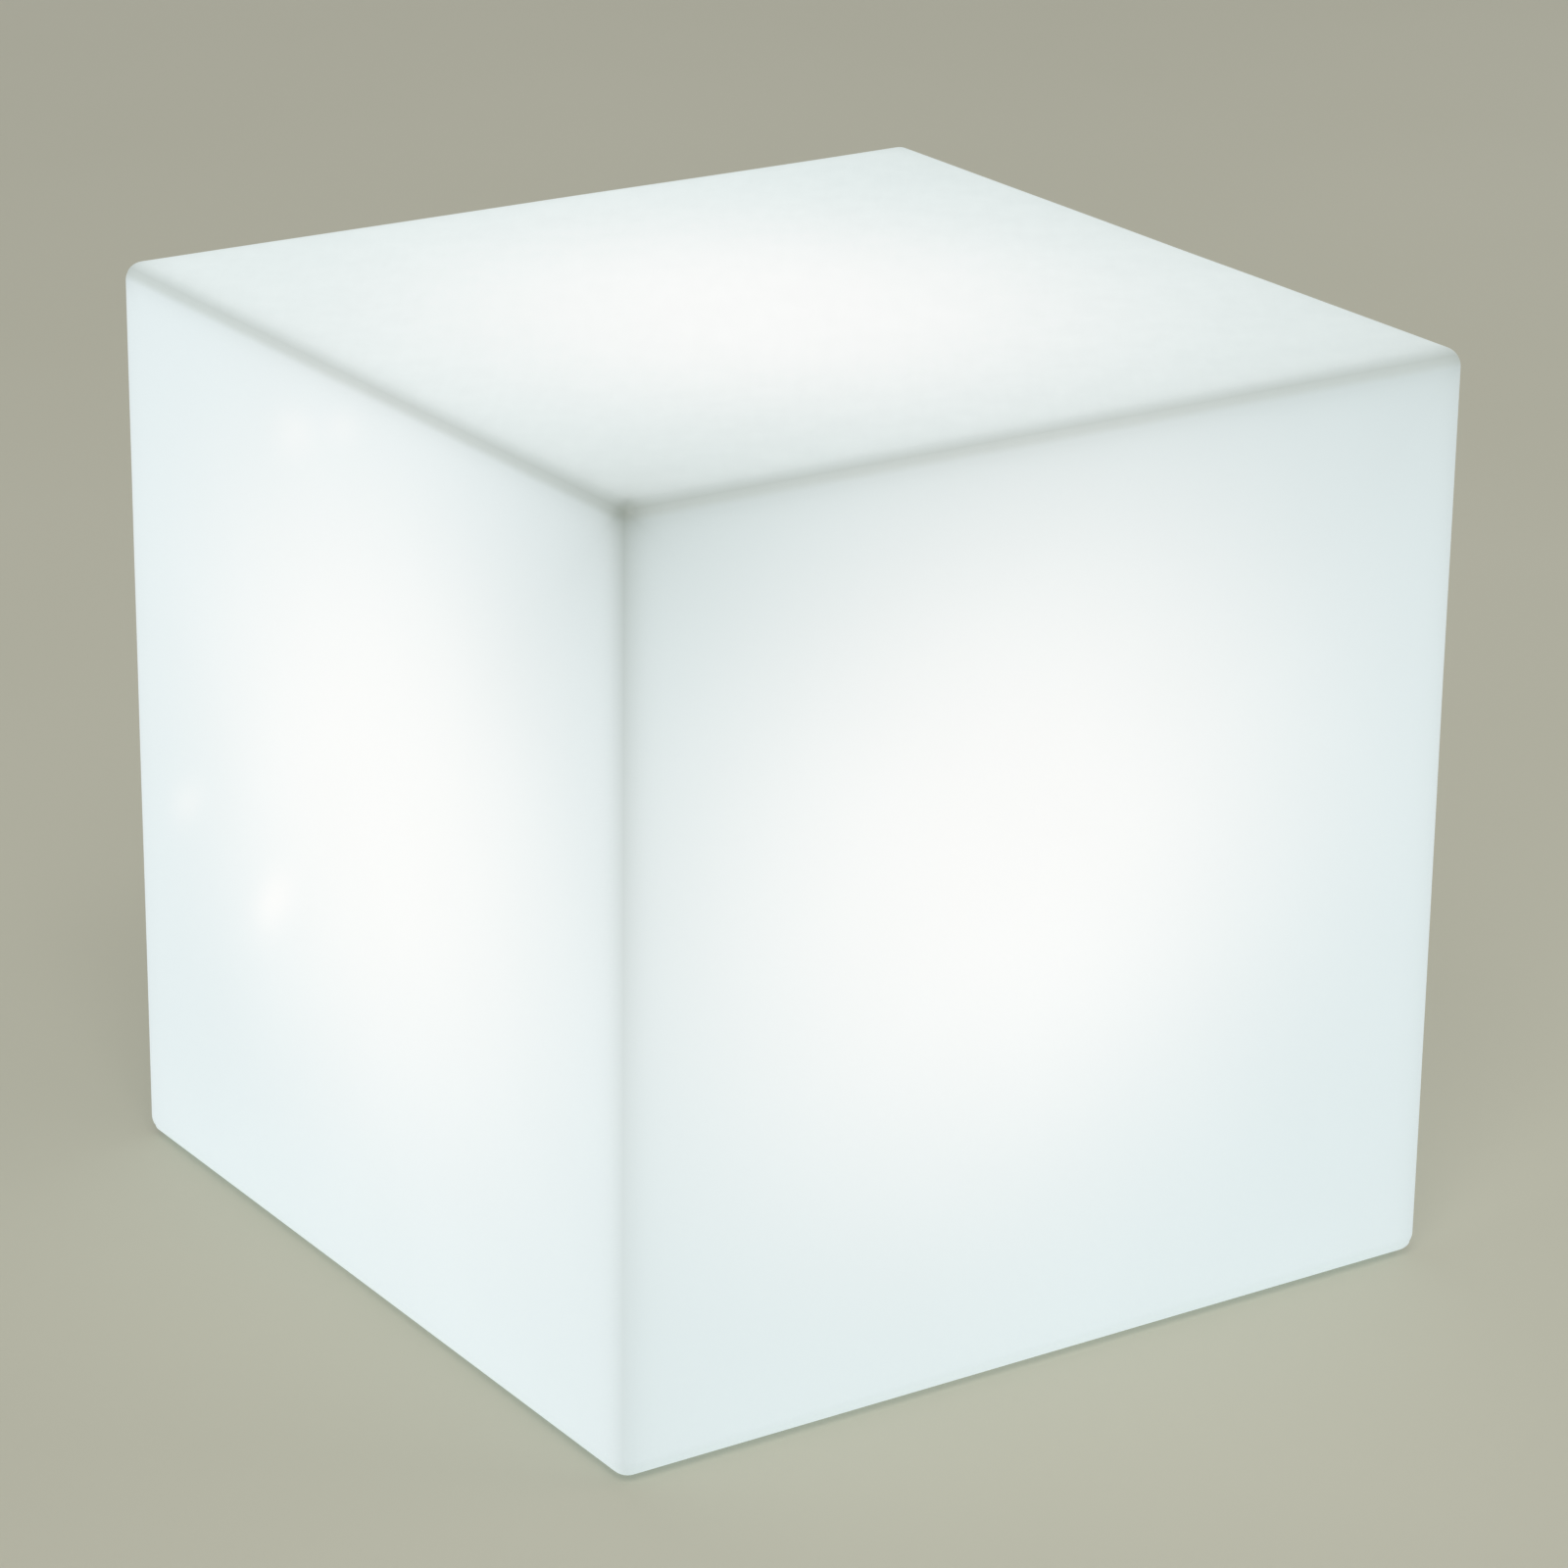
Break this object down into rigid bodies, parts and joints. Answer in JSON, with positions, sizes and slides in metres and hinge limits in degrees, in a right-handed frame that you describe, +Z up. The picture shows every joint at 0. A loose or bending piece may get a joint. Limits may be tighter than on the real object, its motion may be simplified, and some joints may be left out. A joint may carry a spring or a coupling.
{
  "type": "cube light",
  "caption": "Rechargeable cube light: hollow translucent cube with rounded edges, a sealed lamp unit in a recess underneath, push button, charging port and rubber feet.",
  "frame": {"origin": "on the ground, under the middle of the cube", "axes": "+Z up out of the top face, -Y out of the front face, +X to the right seen from the front"},
  "size_m": [0.43, 0.43, 0.43],
  "materials": {
    "shell_polyethylene": "satin milky rotomoulded polyethylene, lit from inside",
    "foot_rubber": "matt black rubber",
    "housing_plastic": "light grey moulded plastic with a fine spark texture",
    "control_plastic": "dark grey moulded plastic",
    "silicone": "translucent grey silicone",
    "stainless_steel": "turned and rolled stainless steel",
    "plated_steel": "bright nickel plate",
    "brass": "knurled brass",
    "aluminium_plate": "brushed sheet",
    "dome_polycarbonate": "frosted inside, smooth outside",
    "clear_plastic": "clear polished rod",
    "board_green": "green solder mask",
    "board_white": "white solder mask",
    "chip_black": "black moulding compound",
    "ferrite": "dark ferrite and enamelled wire",
    "capacitor_can": "bright can",
    "socket_nylon": "natural nylon",
    "cell_wrap": "blue film on a steel can",
    "sleeve_film": "thin blue shrink film",
    "pad_grey": "soft heat-conducting pad",
    "led_window": "white case with a yellow phosphor window",
    "lead_insulation": "soft red insulation",
    "lead_insulation_white": "soft white insulation"
  },
  "bodies": {
    "root": {"cube_shell": "shell_polyethylene", "threaded_inserts": "brass", "base_gasket": "silicone", "base_housing": "housing_plastic", "base_screws": "stainless_steel", "battery_sleeve": "sleeve_film", "cell_links": "plated_steel", "protection_board": "board_green", "battery_strap": "stainless_steel", "strap_screws": "plated_steel", "control_board": "board_green", "board_screws": "plated_steel", "board_chips": "chip_black", "driver_inductor": "ferrite", "board_capacitors": "capacitor_can", "wire_sockets": "socket_nylon", "status_led": "led_window", "light_pipe": "clear_plastic", "switch_body": "stainless_steel", "switch_seal": "silicone", "switch_nut": "stainless_steel", "switch_spring": "plated_steel", "switch_back": "control_plastic", "switch_terminals": "plated_steel", "switch_leads": "lead_insulation_white", "charge_jack": "control_plastic", "jack_pin": "plated_steel", "jack_seal": "silicone", "jack_nut": "plated_steel", "jack_tags": "plated_steel", "jack_leads": "lead_insulation", "door_pin": "stainless_steel", "vent_plug": "control_plastic", "vent_membrane": "silicone", "vent_seal": "silicone", "plate_seal": "silicone", "heat_plate": "aluminium_plate", "thermal_pad": "pad_grey", "led_board": "board_white", "led_chips": "led_window", "led_board_screws": "plated_steel", "lamp_dome": "dome_polycarbonate", "dome_seal": "silicone", "dome_ring": "housing_plastic", "dome_screws": "stainless_steel", "lead_grommet": "foot_rubber", "led_leads": "lead_insulation_white", "battery_leads": "lead_insulation", "foot_front_left": "foot_rubber", "foot_front_right": "foot_rubber", "foot_back_left": "foot_rubber", "foot_back_right": "foot_rubber", "battery_cell_1": "cell_wrap", "battery_cell_2": "cell_wrap", "battery_cell_3": "cell_wrap", "battery_cell_4": "cell_wrap"},
    "power_button": {"power_button": "control_plastic"},
    "port_door": {"port_door": "control_plastic", "port_seal": "silicone"}
  },
  "joints": [
    {"name": "button_press", "type": "slide", "parent": "root", "child": "power_button", "axis": [0, 0, 1], "range_m": [0, 0.0015], "stiffness_N_per_m": 1500, "springref_m": -0.0005, "deforming": ["switch_spring"]},
    {"name": "port_door_hinge", "type": "hinge", "parent": "root", "child": "port_door", "pos_m": [0.028, 0.0155, 0.0229], "axis": [-1, 0, 0], "range_deg": [0, 100]}
  ]
}
